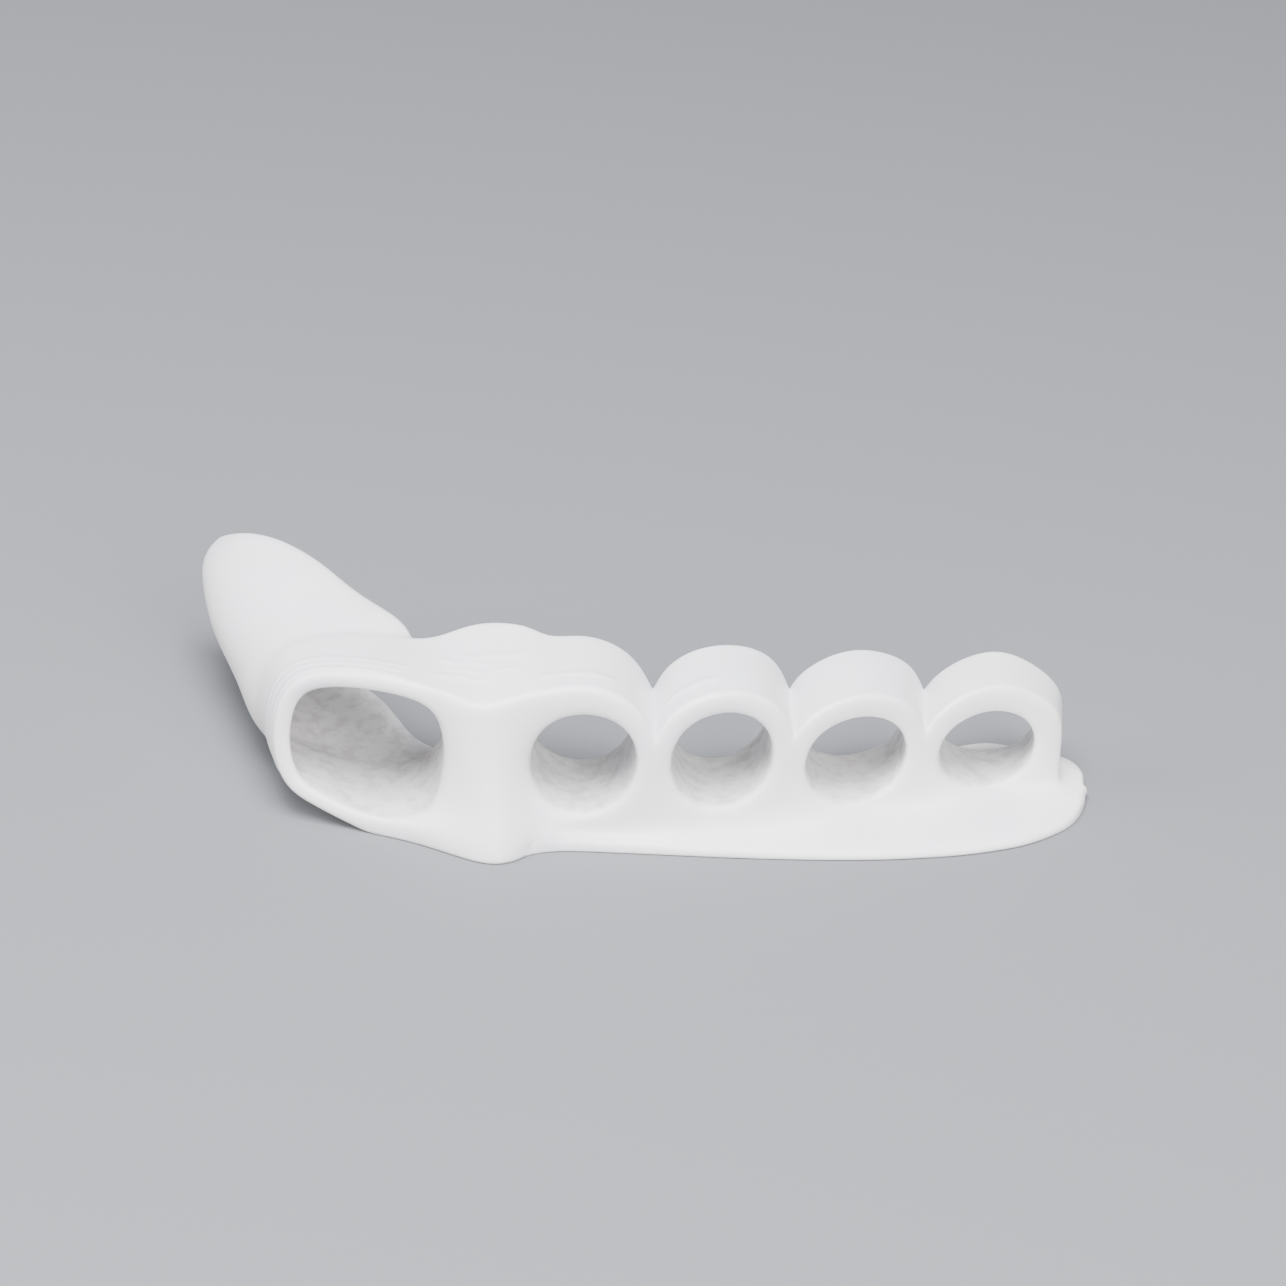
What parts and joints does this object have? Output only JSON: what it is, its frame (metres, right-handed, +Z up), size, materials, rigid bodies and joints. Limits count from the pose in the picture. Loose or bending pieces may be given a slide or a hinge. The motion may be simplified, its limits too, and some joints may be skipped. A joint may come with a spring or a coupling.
{
  "type": "toe separator",
  "caption": "Soft gel toe separator: toe loops in a row on a thin sole, a thick spreader beside the big toe's loop, and a curved bunion shield that runs back from it.",
  "frame": {"origin": "on the flat underside of the sole, below the middle of the third toe's loop", "axes": "+X along the row of loops from the big toe to the little toe, +Y back towards the heel, +Z up from the sole"},
  "size_m": [0.1234, 0.0595, 0.024],
  "materials": {
    "milky_gel": "soft satin, slightly translucent milky white silicone gel"
  },
  "bodies": {
    "root": {"gel_moulding": "milky_gel"}
  },
  "joints": []
}
